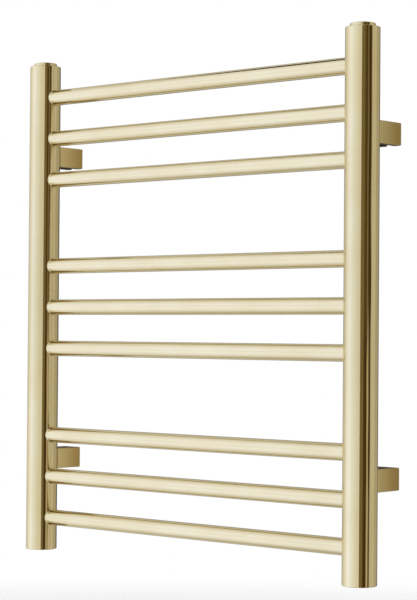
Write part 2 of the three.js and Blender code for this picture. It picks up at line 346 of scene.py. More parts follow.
# Pale gold plate on drawn and buffed tube: close to a mirror, with hairlines along the tube that fray
# a reflection. The hairlines are drawn about ten times as coarse as real ones, which would not show.
GOLD_ON_UPRIGHT = MetalFinish(
    "polished_gold_plate_upright", "#E7DAB6", "#E2D3AB", 0.06, 0.12, Grain.DRAWN_ALONG_Z, 1.1, 0.0008)
GOLD_ON_CROSS_TUBE = MetalFinish(
    "polished_gold_plate_cross_tube", "#E7DAB6", "#E2D3AB", 0.1, 0.17, Grain.DRAWN_ALONG_X, 0.9, 0.0008)
# The same plate on turned brass: fine rings round the cover.
GOLD_ON_COVER = MetalFinish(
    "polished_gold_plate_cover", "#E7DAB6", "#E2D3AB", 0.12, 0.2, Grain.TURNED_ABOUT_Z, 0.5, 0.0006)
# The same plate on box section, less buffed: satin, with painted shade that turns it darker and browner where
# it nears the wall.
GOLD_ON_BRACKET = MetalFinish(
    "satin_gold_plate_bracket", "#DCCBA0", "#D6C494", 0.14, 0.22, Grain.DRAWN_ALONG_Y, 0.7, 0.0015,
    "#B49A66", 40)
# Brass as it leaves the lathe: yellow and bright, with the rings that the tool left.
TURNED_BRASS = MetalFinish(
    "turned_brass", "#D2B26C", "#B8965A", 0.22, 0.38, Grain.TURNED_ABOUT_Z, 0.35, 0.004)
# Satin nickel plate: a warm grey that spreads a highlight.
SATIN_NICKEL = MetalFinish(
    "satin_nickel_plate", "#CFCAC0", "#B9B4A9", 0.2, 0.32, Grain.TURNED_ABOUT_Z, 0.4, 0.002)
# Milled zinc-plated steel: cool grey with cutter marks across the block.
MILLED_STEEL = MetalFinish(
    "milled_steel", "#B4B3AF", "#93928F", 0.28, 0.46, Grain.TURNED_ABOUT_Y, 0.5, 0.004)
# Black-oxide steel of the small screws: nearly black with an oily shine.
BLACK_OXIDE = MetalFinish(
    "black_oxide_steel", "#4A4A4E", "#323236", 0.3, 0.5, Grain.TURNED_ABOUT_Z, 0.4, 0.003)
# Painted shade for the inside of a sleeve: a dark brown, with drawn marks, that stands in for the shade
# inside it.
SHADED_SLEEVE_INSIDE = MetalFinish(
    "painted_shade_sleeve_inside", "#4A4338", "#38332B", 0.35, 0.55, Grain.DRAWN_ALONG_Y, 0.6, 0.003)
# Rubber from a mould: matt black with small pits and a grey bloom.
MOULDED_RUBBER = RubberFinish("moulded_black_rubber", "#161616", "#2A2A29", 0.5)


@cache
def material_of(finish: MetalFinish | RubberFinish) -> bpy.types.Material:
    """Gives a finish's material, built once.

    Args:
        finish: The finish.

    Returns:
        Its material.
    """
    return finish.build()


# ---------------------------------------------------------------- mesh making


def arc(centre: tuple[float, float], radii: tuple[float, float], start_deg: float, end_deg: float,
        steps: int) -> Profile:
    """Gives points along part of an ellipse.

    Args:
        centre: Its middle.
        radii: Its half width and half height.
        start_deg: Angle of the first point, anticlockwise from the right.
        end_deg: Angle of the last point.
        steps: Facets along the arc.

    Returns:
        The points, first and last included.
    """
    angles = [math.radians(start_deg + (end_deg - start_deg) * i / steps) for i in range(steps + 1)]
    return [(centre[0] + radii[0] * math.cos(a), centre[1] + radii[1] * math.sin(a)) for a in angles]


def rounded(profile: Profile, radius: float, steps: int = 3) -> Profile:
    """Rounds every corner of a profile that is off the turning axis.

    Args:
        profile: Radius and height of each corner, in order; the ends stay as they are.
        radius: Radius of the rounding, less where an edge is short.
        steps: Facets along each rounding.

    Returns:
        The profile with its corners rounded.
    """
    points = [Vector(p) for p in profile]
    result = [tuple(points[0])]
    for before, corner, after in zip(points, points[1:], points[2:]):
        into, out = before - corner, after - corner
        reach = min(radius, into.length * 0.45, out.length * 0.45)
        start, end = corner + into.normalized() * reach, corner + out.normalized() * reach
        for step in range(steps + 1):
            t = step / steps
            result.append(tuple(start * (1 - t) ** 2 + corner * (2 * t * (1 - t)) + end * t ** 2))
    result.append(tuple(points[-1]))
    return result


def mesh_object(name: str, shape: bmesh.types.BMesh, crease_deg: float = 35) -> bpy.types.Object:
    """Turns finished mesh data into a smooth-shaded object at the origin.

    Args:
        name: Name of the piece.
        shape: The mesh, which is freed.
        crease_deg: Edges sharper than this stay crisp.

    Returns:
        The new object, linked to the scene.
    """
    bmesh.ops.remove_doubles(shape, verts=shape.verts, dist=1e-7)
    bmesh.ops.recalc_face_normals(shape, faces=shape.faces)
    mesh = bpy.data.meshes.new(name)
    shape.to_mesh(mesh)
    shape.free()
    mesh.shade_smooth()
    mesh.set_sharp_from_angle(angle=math.radians(crease_deg))
    return put_in_scene(name, mesh)


def add_loft(shape: bmesh.types.BMesh, rings: Sequence[Sequence[Vector]], closed: bool = False) -> None:
    """Joins rings of points into a skin.

    Args:
        shape: The mesh that receives it.
        rings: Closed rings with equal numbers of points; a ring of one point is a pole.
        closed: Whether the last ring joins the first again.
    """
    made = [[shape.verts.new(point) for point in ring] for ring in rings]
    pairs = list(zip(made, made[1:])) + ([(made[-1], made[0])] if closed else [])
    for lower, upper in pairs:
        for i in range(max(len(lower), len(upper))):
            corners = [lower[i % len(lower)], lower[(i + 1) % len(lower)],
                       upper[(i + 1) % len(upper)], upper[i % len(upper)]]
            shape.faces.new(list(dict.fromkeys(corners)))


def turned(name: str, profile: Profile, place: Matrix, sides: int = 96) -> bpy.types.Object:
    """Turns a profile about an axis.

    Args:
        name: Name of the piece.
        profile: Radius and height of each point in metres, from axis to axis, or closed with its
            first point again, or open where another skin carries on.
        place: Takes the profile's Z axis to where the piece goes.
        sides: Facets around.

    Returns:
        The turned piece.
    """
    closed = profile[0] == profile[-1]
    rings = []
    for radius, height in profile[:-1] if closed else profile:
        angles = [2 * math.pi * i / sides for i in range(sides if radius > 1e-7 else 1)]
        rings.append([place @ Vector((radius * math.cos(a), radius * math.sin(a), height)) for a in angles])
    shape = bmesh.new()
    add_loft(shape, rings, closed)
    return mesh_object(name, shape)


def prism(name: str, outline: Profile, place: Matrix, low: float, high: float) -> bpy.types.Object:
    """Raises an outline into a prism.

    Args:
        name: Name of the piece.
        outline: Corners round the axis, in metres.
        place: Takes the outline's plane and the Z axis to where the piece goes.
        low: Height of the bottom.
        high: Height of the top.

    Returns:
        The prism.
    """
    rings = [[place @ Vector((x, y, z)) for x, y in outline] for z in (low, high)]
    shape = bmesh.new()
    add_loft(shape, rings)
    made = list(shape.verts)
    shape.faces.new(reversed(made[:len(outline)]))
    shape.faces.new(made[len(outline):])
    return mesh_object(name, shape)


def joined(name: str, parts: Sequence[bpy.types.Object]) -> bpy.types.Object:
    """Joins pieces whose edges meet into one skin.

    Args:
        name: Name of the result.
        parts: The pieces, which are used up.

    Returns:
        The joined piece.
    """
    shape = bmesh.new()
    for part in parts:
        shape.from_mesh(part.data)
        bpy.data.objects.remove(part)
    bmesh.ops.remove_doubles(shape, verts=shape.verts, dist=2e-6)
    return mesh_object(name, shape)


def rounded_rectangle(width: float, height: float, corner: float, per_corner: int = 6,
                      per_side: int = 1) -> Profile:
    """Gives the corners of a rectangle with rounded corners.

    Args:
        width: Its width.
        height: Its height.
        corner: Radius of the corners.
        per_corner: Facets along each corner.
        per_side: Facets along each straight side.

    Returns:
        Its points, anticlockwise from the right side's upper end.
    """
    points = []
    for quarter, (sx, sy) in enumerate([(1, 1), (-1, 1), (-1, -1), (1, -1)]):
        centre = Vector((sx * (width / 2 - corner), sy * (height / 2 - corner)))
        for step in range(per_corner + 1):
            angle = math.pi / 2 * (quarter + step / per_corner)
            points.append(centre + corner * Vector((math.cos(angle), math.sin(angle))))
    result = []
    for i, point in enumerate(points):
        result.append(tuple(point))
        if i % (per_corner + 1) == per_corner:
            after = points[(i + 1) % len(points)]
            result += [tuple(point.lerp(after, k / per_side)) for k in range(1, per_side)]
    return result


def regular_outline(across_flats: float, sides: int) -> Profile:
    """Gives the corners of a regular outline, such as a hexagon.

    Args:
        across_flats: Distance between opposite flats.
        sides: Number of sides.

    Returns:
        Its corners, anticlockwise.
    """
    radius = across_flats / 2 / math.cos(math.pi / sides)
    angles = [2 * math.pi * (i + 0.5) / sides for i in range(sides)]
    return [(radius * math.cos(a), radius * math.sin(a)) for a in angles]


def cut_out(piece: bpy.types.Object, tools: Sequence[bpy.types.Object],
            soften: float = 0.0) -> bpy.types.Object:
    """Cuts tools out of a piece and, if asked, rounds the crisp edges.

    Args:
        piece: The piece that is cut.
        tools: Closed pieces, which are used up.
        soften: Width of the rounding in metres, or 0 for none.

    Returns:
        The same piece with its new mesh.
    """
    for tool in tools:
        cut = piece.modifiers.new("cut", "BOOLEAN")
        cut.operation = "DIFFERENCE"
        cut.solver = "EXACT"
        cut.object = tool
    if soften:
        edge = piece.modifiers.new("soften", "BEVEL")
        edge.width = soften
        edge.segments = 2
        edge.limit_method = "ANGLE"
        edge.angle_limit = math.radians(50)
        edge.harden_normals = False
    baked = bpy.data.meshes.new_from_object(piece.evaluated_get(bpy.context.evaluated_depsgraph_get()))
    piece.modifiers.clear()
    piece.data = baked
    baked.shade_smooth()
    baked.set_sharp_from_angle(angle=math.radians(30))
    for tool in tools:
        bpy.data.objects.remove(tool)
    return piece


def install(piece: bpy.types.Object, finish: MetalFinish | RubberFinish, body: str,
            nodes: Sequence[str] = ()) -> bpy.types.Object:
    """Dresses a finished piece and puts it on its body.

    Args:
        piece: The piece, in place.
        finish: Its finish.
        body: The CAD body that it moves with.
        nodes: CAD nodes that it stands for.

    Returns:
        The same piece.
    """
    piece.data.materials.clear()
    piece.data.materials.append(material_of(finish))
    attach(piece, body)
    if nodes:
        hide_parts(*nodes)
    return piece


# ---------------------------------------------------------------- rule-made shapes


def new_shape_tree(name: str, inputs: dict[str, type]) -> tuple[bpy.types.NodeTree, dict[str, Wire]]:
    """Starts a Geometry Nodes tree that makes a mesh from named numbers.

    Args:
        name: The tree's name.
        inputs: Name and type, float or int, of each number.

    Returns:
        The tree and a wire from each number.
    """
    tree = bpy.data.node_groups.new(name, "GeometryNodeTree")
    for label, kind in inputs.items():
        tree.interface.new_socket(label, in_out="INPUT",
                                  socket_type="NodeSocketInt" if kind is int else "NodeSocketFloat")
    tree.interface.new_socket("Finish", in_out="INPUT", socket_type="NodeSocketMaterial")
    tree.interface.new_socket("Geometry", in_out="OUTPUT", socket_type="NodeSocketGeometry")
    source = add_node(tree, "NodeGroupInput")
    return tree, {label: Wire(tree, source.outputs[label]) for label in (*inputs, "Finish")}


def start_sheet(tree: bpy.types.NodeTree, rows: Wire,
                sides: Wire) -> tuple[bpy.types.NodeSocket, Wire, Wire]:
    """Adds a flat sheet of points that a rule then wraps round an axis.

    Args:
        tree: The tree.
        rows: Points along the axis.
        sides: Facets around it.

    Returns:
        The sheet, the place along it from -0.5 to 0.5, and the turn round it from -0.5 to 0.5.
    """
    sheet = add_node(tree, "GeometryNodeMeshGrid", None, {
        "Size X": 1.0, "Size Y": 1.0, "Vertices X": rows.socket, "Vertices Y": (sides + 1).socket})
    where = add_node(tree, "ShaderNodeSeparateXYZ", None,
                     {0: add_node(tree, "GeometryNodeInputPosition").outputs[0]})
    return sheet.outputs["Mesh"], Wire(tree, where.outputs[0]), Wire(tree, where.outputs[1])


def end_sheet(tree: bpy.types.NodeTree, sheet: bpy.types.NodeSocket, finish: Wire,
              place: Sequence[Wire]) -> None:
    """Moves the sheet's points to their places, closes its seam and ends the tree.

    Args:
        tree: The tree.
        sheet: The sheet.
        finish: The material's wire.
        place: X, Y and Z of each point.
    """
    position = add_node(tree, "ShaderNodeCombineXYZ", None,
                        {i: wire.socket for i, wire in enumerate(place)})
    moved = add_node(tree, "GeometryNodeSetPosition", None,
                     {"Geometry": sheet, "Position": position.outputs[0]})
    closed = add_node(tree, "GeometryNodeMergeByDistance", None,
                      {"Geometry": moved.outputs[0], "Distance": 1e-6})
    smooth = add_node(tree, "GeometryNodeSetShadeSmooth", None, {"Geometry": closed.outputs[0]})
    real = add_node(tree, "GeometryNodeRealizeInstances", None, {"Geometry": smooth.outputs[0]})
    dressed = add_node(tree, "GeometryNodeSetMaterial", None,
                       {"Geometry": real.outputs[0], "Material": finish.socket})
    add_node(tree, "NodeGroupOutput", None, {"Geometry": dressed.outputs[0]})


def grown(name: str, tree: bpy.types.NodeTree, numbers: dict[str, float],
          finish: MetalFinish) -> bpy.types.Object:
    """Makes a piece from a Geometry Nodes tree and bakes it to a plain mesh.

    Args:
        name: Name of the piece.
        tree: The tree.
        numbers: Its inputs by name.
        finish: The finish that it gets.

    Returns:
        The baked piece.
    """
    piece = put_in_scene(name, bpy.data.meshes.new(name))
    rule = piece.modifiers.new(tree.name, "NODES")
    rule.node_group = tree
    keys = {item.name: item.identifier for item in tree.interface.items_tree if item.in_out == "INPUT"}
    for label, number in numbers.items():
        rule[keys[label]] = number
    rule[keys["Finish"]] = material_of(finish)
    baked = bpy.data.meshes.new_from_object(piece.evaluated_get(bpy.context.evaluated_depsgraph_get()))
    piece.modifiers.clear()
    piece.data = baked
    shape = bmesh.new()
    shape.from_mesh(baked)
    bmesh.ops.recalc_face_normals(shape, faces=shape.faces)
    shape.to_mesh(baked)
    shape.free()
    return piece


GAP = 0.15 * MM  # left between a piece and the upright that it meets
ROWS_PER_TURN = 8  # points along one turn of a thread
FINE_THREAD = (0.2 * MM, 0.8 * MM)  # half the depth, and the pitch, of a small screw's thread


def welded_tube_tree() -> bpy.types.NodeTree:
    """Makes the rule for a tube along X, cut to fit two uprights and flared by a small weld at each end.

    Returns:
        The tree.
    """
    tree, get = new_shape_tree("welded_tube", {
        "Half Length": float, "Height": float, "Depth": float, "Tube Radius": float, "Upright Radius": float,
        "Weld": float, "Rows": int, "Sides": int})
    sheet, along, turn = start_sheet(tree, get["Rows"], get["Sides"])
    reach = 1.0 - along.apply("ABSOLUTE") * 2.0
    closeness = reach.apply("POWER", 3.0)
    weld = get["Weld"]
    missing = (weld - closeness * get["Half Length"]).apply("MAXIMUM", 0.0)
    flare = weld - (weld * weld - missing * missing).apply("SQRT")
    radius = (get["Tube Radius"] + flare) * reach.apply("GREATER_THAN", 1e-5)
    angle = turn * (2 * math.pi)
    y = radius * angle.apply("SINE")
    upright = get["Upright Radius"]
    mouth = (upright * upright - y * y).apply("SQRT")
    end = get["Half Length"] - mouth + GAP
    x = along.apply("SIGN") * (end - closeness * end)
    end_sheet(tree, sheet, get["Finish"],
              (x, y + get["Depth"], radius * angle.apply("COSINE") + get["Height"]))
    return tree


@cache
def thread_tree() -> bpy.types.NodeTree:
    """Makes the rule for a screw thread round Z that runs out smoothly at both ends.

    Returns:
        The tree.
    """
    tree, get = new_shape_tree("screw_thread", {
        "Radius": float, "Half Depth": float, "Pitch": float, "Bottom": float, "Length": float,
        "Rows": int, "Sides": int})
    sheet, along, turn = start_sheet(tree, get["Rows"], get["Sides"])
    z = (along + 0.5) * get["Length"] + get["Bottom"]
    phase = (z / get["Pitch"] - turn) * (2 * math.pi)
    from_end = (0.5 - along.apply("ABSOLUTE")) * get["Length"]
    grown_in = (from_end / get["Pitch"]).apply("MINIMUM", 1.0)
    radius = get["Radius"] + get["Half Depth"] * phase.apply("COSINE") * grown_in
    angle = turn * (2 * math.pi)
    end_sheet(tree, sheet, get["Finish"], (radius * angle.apply("COSINE"), radius * angle.apply("SINE"), z))
    return tree


def thread(radius: float, half_depth: float, pitch: float, bottom: float, top: float, place: Matrix,
           finish: MetalFinish, sides: int = 96) -> bpy.types.Object:
    """Makes a threaded skin.

    Args:
        radius: Its mean radius.
        half_depth: Half the height from root to crest.
        pitch: The thread's pitch.
        bottom: Height where it starts.
        top: Height where it ends.
        place: Takes its Z axis to where it goes.
        finish: Its finish.
        sides: Facets around.

    Returns:
        The skin, open at both ends.
    """
    rows = round((top - bottom) / pitch * ROWS_PER_TURN) + 1
    skin = grown("thread", thread_tree(), {
        "Radius": radius, "Half Depth": half_depth, "Pitch": pitch, "Bottom": bottom, "Length": top - bottom,
        "Rows": rows, "Sides": sides}, finish)
    skin.data.transform(place)
    return skin


# ---------------------------------------------------------------- sub-assemblies


@cache
def box_of(node: str) -> tuple[Point, Point]:
    """Gives the lowest and highest corner of a CAD node's box, measured once."""
    low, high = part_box(node)
    return tuple(low), tuple(high)


def centre_of(node: str) -> Vector:
    """Gives the middle of a CAD node's box."""
    low, high = box_of(node)
    return (Vector(low) + Vector(high)) / 2


def radius_of(node: str) -> float:
    """Gives half the width of a CAD node's box."""
    low, high = box_of(node)
    return (high[0] - low[0]) / 2


def heights_of(node: str, above: float = 0.0) -> tuple[float, float]:
    """Gives the bottom and top of a CAD node's box, measured from a height."""
    low, high = box_of(node)
    return low[2] - above, high[2] - above


def name_of(side: Side) -> str:
    """Gives the side as the CAD names have it."""
    return side.name.lower()


def upright_axis(side: Side) -> tuple[Vector, Vector, float]:
    """Measures an upright's CAD node.

    Args:
        side: Which upright.

    Returns:
        The bottom end of its axis, the top end, and its radius.
    """
    node = f"upright_{name_of(side)}"
    middle = centre_of(node)
    bottom, top = heights_of(node)
    return Vector((middle.x, middle.y, bottom)), Vector((middle.x, middle.y, top)), radius_of(node)


@dataclass
class Upright:
    """A collector tube with softly rounded ends.

    Attributes:
        side: Which one.
        wall: Thickness of the tube.
        edge: Rounding of the outer end edges.
        sides: Facets around.
    """

    side: Side
    wall: float = 1.5 * MM
    edge: float = 1.0 * MM
    sides: int = 192

    def build(self) -> list[bpy.types.Object]:
        """Makes the tube.

        Returns:
            The dressed piece, alone in a list.
        """
        bottom, top, radius = upright_axis(self.side)
        height, bore, edge = top.z - bottom.z, radius - self.wall, self.edge
        profile = [(bore, 0.0), (bore, height),
                   *arc((radius - edge, height - edge), (edge, edge), 90, 0, 6),
                   *arc((radius - edge, edge), (edge, edge), 0, -90, 6), (bore, 0.0)]
        name = name_of(self.side)
        piece = turned(f"upright_tube_{name}", profile, Matrix.Translation(bottom), self.sides)
        return [install(piece, GOLD_ON_UPRIGHT, "rack", [f"upright_{name}"])]


@dataclass
class CrossTubes:
    """The nine cross tubes, each cut round the uprights and welded to them.

    Attributes:
        count: How many there are.
        weld: Width of the weld's flare.
        rows: Points along a tube, closer together near its ends.
        sides: Facets around.
    """

    count: int = 9
    weld: float = 1.2 * MM
    rows: int = 49
    sides: int = 96

    def build(self) -> list[bpy.types.Object]:
        """Makes them all.

        Returns:
            The dressed pieces, top one first.
        """
        tree = welded_tube_tree()
        upright_end, _, upright_radius = upright_axis(Side.RIGHT)
        made = []
        for number in range(1, self.count + 1):
            node = f"crossbar_{number}"
            bottom, top = heights_of(node)
            middle = centre_of(node)
            piece = grown(f"cross_tube_{number}", tree, {
                "Half Length": upright_end.x, "Height": middle.z, "Depth": middle.y,
                "Tube Radius": (top - bottom) / 2, "Upright Radius": upright_radius, "Weld": self.weld,
                "Rows": self.rows, "Sides": self.sides}, GOLD_ON_CROSS_TUBE)
            made.append(install(piece, GOLD_ON_CROSS_TUBE, "rack", [node]))
        return made


@dataclass
class PortBoss:
    """The brass boss in the foot of an upright, with a half-inch pipe thread for the valve.

    Attributes:
        side: Which upright.
        crest: Radius to the crests of the thread.
        root: Radius to its roots.
        pitch: Pitch of the thread.
        mouth: Radius of the bevelled mouth.
    """

    side: Side
    crest: float = 9.3 * MM
    root: float = 10.45 * MM
    pitch: float = 1.814 * MM
    mouth: float = 10.7 * MM

    def build(self) -> list[bpy.types.Object]:
        """Makes the boss.

        Returns:
            The dressed piece, alone in a list.
        """
        node = f"port_boss_{name_of(self.side)}"
        outer, middle = radius_of(node), centre_of(node)
        bottom, top = heights_of(node)
        length = top - bottom
        place = Matrix.Translation((middle.x, middle.y, bottom))
        mean = (self.crest + self.root) / 2
        bevel = self.mouth - mean
        corners = [(mean, bevel), (self.mouth, 0), (outer, 0), (outer, length), (mean, length)]
        body = turned("boss", rounded(corners, 0.3 * MM), place)
        skin = thread(mean, (self.root - self.crest) / 2, self.pitch, bevel, length, place, TURNED_BRASS)
        piece = joined(f"brass_{node}", [body, skin])
        return [install(piece, TURNED_BRASS, "rack", [node])]


@dataclass
class TopFitting:
    """What closes the head of an upright: a recessed boss, a threaded plug and a cover pushed over it.

    Heights are measured from the upright's end. The right plug is the air vent, with its bleed screw.

    Attributes:
        side: Which upright.
        thread_crest: Radius to the crests of the plug's thread.
        thread_depth: Depth of the thread.
        pitch: Pitch of the thread.
        play: How much wider a bore is, in radius, than what goes through it.
        recess: Radius and depth of the boss's recess.
        head: Radius, bottom and top of the plug's head.
        groove: Radius, bottom and top of the groove for the rubber ring.
        key: Width across the flats of the key's hexagon.
        cover_wall: Thickness of the cover's side and of its top.
        cover_edge: Rounding of the cover's edge.
        screw: Radius of the bleed screw's thread to its crests, and of its collar.
        screw_head: Width of the bleed screw's square head.
    """

    side: Side
    thread_crest: float = 9.0 * MM
    thread_depth: float = 0.8 * MM
    pitch: float = 1.814 * MM
    play: float = 0.3 * MM
    recess: tuple[float, float] = (14.5 * MM, 6 * MM)
    head: Point = (12.2 * MM, -4.3 * MM, 2.2 * MM)
    groove: Point = (10.9 * MM, -1.0 * MM, 1.2 * MM)
    key: float = 12 * MM
    cover_wall: tuple[float, float] = (1.4 * MM, 1.5 * MM)
    cover_edge: float = 0.8 * MM
    screw: tuple[float, float] = (2.65 * MM, 4.2 * MM)
    screw_head: float = 5 * MM

    def build(self) -> list[bpy.types.Object]:
        """Makes the fitting.

        Returns:
            The dressed pieces.
        """
        made = [self.boss(), self.plug(), self.washer(), self.grip_ring(), self.cover()]
        if self.side is Side.RIGHT:
            made.append(self.bleed_screw())
        return made

    @property
    def place(self) -> Matrix:
        """The upright's upper end."""
        return Matrix.Translation(upright_axis(self.side)[1])

    def span(self, node: str) -> tuple[float, float, float]:
        """Gives a CAD node's radius, and its bottom and top from the upright's end."""
        return radius_of(node), *heights_of(node, self.place.translation.z)

    def boss(self) -> bpy.types.Object:
        """Makes the recessed boss, in the tube's own gold.

        Returns:
            The dressed piece.
        """
        node = f"top_boss_{name_of(self.side)}"
        outer, bottom, top = self.span(node)
        length = top - bottom
        bore = self.thread_crest + self.play
        radius, depth = self.recess
        seam = (bore, (-length - depth) / 2)
        corners = [(bore, -length), (outer, -length), (outer, 0), (radius, 0), (radius, -depth),
                   (bore, -depth)]
        piece = turned(f"gold_{node}", rounded([seam, *corners, seam], 0.25 * MM), self.place)
        return install(piece, GOLD_ON_COVER, "rack", [node])

    def plug(self) -> bpy.types.Object:
        """Makes the blanking plug, or the air vent's body on the right.

        Returns:
            The dressed piece.
        """
        vent = self.side is Side.RIGHT
        node = "air_vent_body" if vent else "blanking_plug"
        _, end, _ = self.span(node)
        radius, bottom, top = self.head
        groove, groove_bottom, groove_top = self.groove
        mean = self.thread_crest - self.thread_depth / 2
        tip, run_out = end + 0.9 * MM, bottom - 1.2 * MM
        upper = rounded([(mean, run_out), (mean, bottom), (radius, bottom), (radius, groove_bottom),
                         (groove, groove_bottom), (groove, groove_top), (radius, groove_top), (radius, top),
                         (0, top)], 0.3 * MM)
        lower = rounded([(0, end), (mean - 0.5 * MM, end), (mean, tip)], 0.2 * MM)
        skin = thread(mean, self.thread_depth / 2, self.pitch, tip, run_out, self.place, SATIN_NICKEL)
        parts = [turned("upper", upper, self.place), turned("lower", lower, self.place), skin]
        piece = joined(f"nickel_{node}", parts)
        key_depth = 3.2 * MM if vent else 5 * MM
        tools = [prism("key", regular_outline(self.key, 6), self.place, top - key_depth, top + MM)]
        if vent:
            for width, low, high in ((3 * MM, -14 * MM, top + MM), (1.5 * MM, end - MM, -13 * MM)):
                bore = [(0, low), (width, low), (width, high), (0, high)]
                tools.append(turned("bore", bore, self.place, 48))
        return install(cut_out(piece, tools, 0.15 * MM), SATIN_NICKEL, "rack", [node])

    def washer(self) -> bpy.types.Object:
        """Makes the flat rubber washer under the plug's head.

        Returns:
            The dressed piece.
        """
        node = f"plug_washer_{name_of(self.side)}"
        outer, bottom, top = self.span(node)
        inner = self.thread_crest + self.play
        seam = (inner, (bottom + top) / 2)
        corners = [(inner, bottom), (outer, bottom), (outer, top), (inner, top)]
        piece = turned(f"rubber_{node}", rounded([seam, *corners, seam], 0.2 * MM), self.place)
        return install(piece, MOULDED_RUBBER, "rack", [node])

    def grip_ring(self) -> bpy.types.Object:
        """Makes the rubber ring that grips the cover, round on its outer side.

        Returns:
            The dressed piece.
        """
        node = f"cover_grip_ring_{name_of(self.side)}"
        outer, bottom, top = self.span(node)
        inner = self.groove[0] + self.play
        middle, half = (bottom + top) / 2, (top - bottom) / 2
        swell = half / 2
        profile = [(inner, top), (inner, bottom),
                   *arc((outer - swell, middle), (swell, half), -90, 90, 10), (inner, top)]
        piece = turned(f"rubber_{node}", profile, self.place)
        return install(piece, MOULDED_RUBBER, "rack", [node])

    def cover(self) -> bpy.types.Object:
        """Makes the round cover, a cup upside down.

        Returns:
            The dressed piece.
        """
        name = name_of(self.side)
        node = f"top_cover_{name}"
        outer, base, top = self.span(node)
        side_wall, top_wall = self.cover_wall
        bore, ceiling = outer - side_wall, top - top_wall
        edge = self.cover_edge
        profile = rounded([(0, ceiling), (bore, ceiling), (bore, base), (outer, base), (outer, 0)], 0.25 * MM)
        profile += arc((outer - edge, top - edge), (edge, edge), 0, 90, 8)
        profile += [(outer * share, top) for share in (0.8, 0.5, 0.2, 0)]
        piece = turned(f"gold_{node}", profile, self.place, 128)
        return install(piece, GOLD_ON_COVER, f"top_cover_{name}", [node])

    def bleed_screw(self) -> bpy.types.Object:
        """Makes the bleed screw with its square head.

        Returns:
            The dressed piece.
        """
        _, end, top = self.span("bleed_screw")
        crest, collar = self.screw
        collar_bottom = -0.7 * MM
        mean = crest - FINE_THREAD[0]
        cone = end + 2 * MM
        lower = rounded([(0, end), (1.4 * MM, end), (mean, cone)], 0.2 * MM)
        run_out = collar_bottom - 0.8 * MM
        skin = thread(mean, *FINE_THREAD, cone, run_out, self.place, BLACK_OXIDE, 48)
        upper = rounded([(mean, run_out), (mean, collar_bottom), (collar, collar_bottom),
                         (collar, collar_bottom + MM), (0, collar_bottom + MM)], 0.2 * MM)
        head = rounded_rectangle(self.screw_head, self.screw_head, 0.3 * MM)
        square = cut_out(prism("square", head, self.place, collar_bottom + 0.5 * MM, top), [], 0.3 * MM)
        parts = [turned("lower", lower, self.place, 48), skin, turned("upper", upper, self.place, 48), square]
        piece = joined("steel_bleed_screw", parts)
        return install(piece, BLACK_OXIDE, "bleed_screw", ["bleed_screw"])


